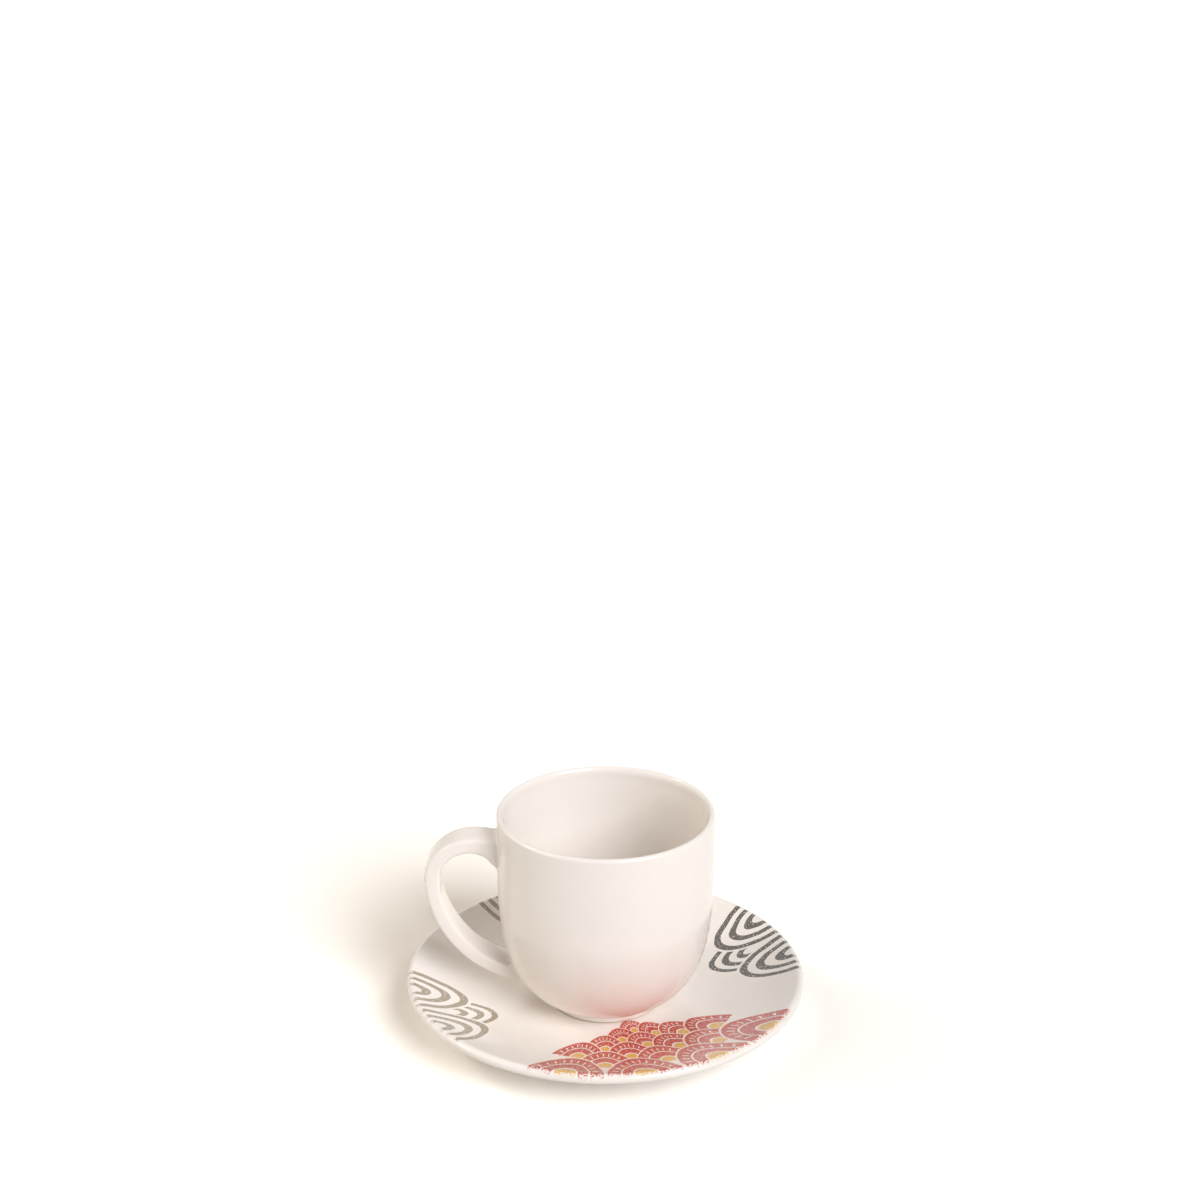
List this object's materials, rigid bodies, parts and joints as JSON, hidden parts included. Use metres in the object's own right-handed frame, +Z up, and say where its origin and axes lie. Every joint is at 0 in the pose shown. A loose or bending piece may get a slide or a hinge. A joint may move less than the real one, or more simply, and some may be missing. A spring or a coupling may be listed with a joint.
{
  "type": "coffee cup with saucer",
  "caption": "Small round-bellied stoneware coffee cup with a strap handle, standing in a shallow coupe saucer, that holds a coffee and lifts off the saucer.",
  "frame": {"origin": "on the saucer's axis, on the surface that the saucer stands on", "axes": "+Z up along the axis of cup and saucer, the cup's handle along -X, +Y completing a right-handed frame"},
  "size_m": [0.12, 0.12, 0.0688],
  "materials": {
    "saucer_glaze": "cream satin glaze over stoneware, printed on the upper face in coral, ochre and warm grey",
    "cup_glaze": "plain cream satin glaze over stoneware, with the foot ring's rim left bare",
    "handle_slip": "fired clay slip under the same cream glaze"
  },
  "bodies": {
    "saucer": {"saucer": "saucer_glaze"},
    "cup": {"cup_bowl": "cup_glaze", "cup_handle": "cup_glaze", "upper_handle_slip": "handle_slip", "lower_handle_slip": "handle_slip"}
  },
  "joints": [
    {"name": "cup_lift", "type": "slide", "parent": "saucer", "child": "cup", "axis": [0, 0, 1], "range_m": [0, 0.08]}
  ]
}
